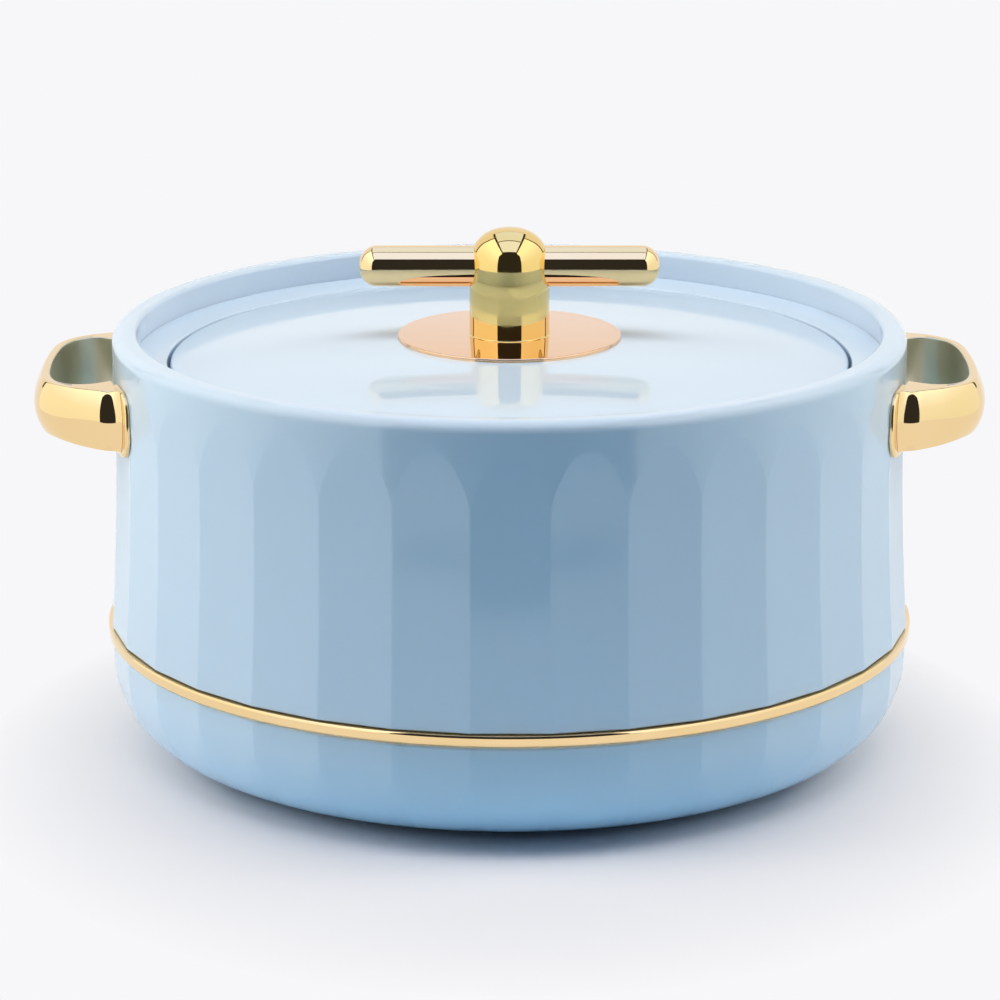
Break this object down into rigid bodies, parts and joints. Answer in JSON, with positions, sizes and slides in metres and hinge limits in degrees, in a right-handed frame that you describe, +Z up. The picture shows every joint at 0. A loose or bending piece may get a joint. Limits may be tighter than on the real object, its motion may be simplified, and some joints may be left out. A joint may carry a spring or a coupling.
{
  "type": "insulated casserole",
  "caption": "Round insulated serving casserole with a faceted body, steel bowl, two loop handles and a domed lift-off lid with a cross-bar grip.",
  "frame": {"origin": "centre of the foot, on the surface that the casserole stands on", "axes": "+X towards the right-hand handle, -Y towards the front, +Z up along the lid's axis"},
  "size_m": [0.291, 0.25, 0.1591],
  "materials": {
    "shell_plastic": "glossy pale blue",
    "polished_gold": "polished gold plating",
    "rose_gold": "polished rose-gold plating",
    "stainless_steel": "satin stainless steel",
    "foam": "rigid foam",
    "plug_plastic": "matt pale blue",
    "grey_rubber": "soft matt grey",
    "silicone": "translucent white silicone",
    "screw_steel": "zinc-plated steel"
  },
  "bodies": {
    "casserole": {"upper_shell": "shell_plastic", "lower_shell": "shell_plastic", "trim_band": "polished_gold", "base_ring": "grey_rubber", "foam_port_plug": "plug_plastic", "lid_seat_ring": "shell_plastic", "inner_bowl": "stainless_steel", "body_insulation": "foam", "handle_left": "polished_gold", "handle_right": "polished_gold", "rosettes_left": "polished_gold", "rosettes_right": "polished_gold", "handle_screws_left": "screw_steel", "handle_screws_right": "screw_steel", "handle_washers_left": "screw_steel", "handle_washers_right": "screw_steel"},
    "seal": {"lid_seal": "silicone"},
    "lid": {"lid_top": "shell_plastic", "lid_liner": "stainless_steel", "lid_insulation": "foam", "lid_disc": "rose_gold", "knob_post": "polished_gold", "knob_bar": "polished_gold", "bar_screw": "screw_steel", "knob_screw": "screw_steel", "knob_washer": "screw_steel"}
  },
  "joints": [
    {"name": "lid_lift", "type": "slide", "parent": "casserole", "child": "seal", "axis": [0, 0, 1], "range_m": [0, 0.08]},
    {"name": "lid_turn", "type": "hinge", "parent": "seal", "child": "lid", "pos_m": [0, 0, 0.109], "axis": [0, 0, 1], "continuous": true}
  ]
}
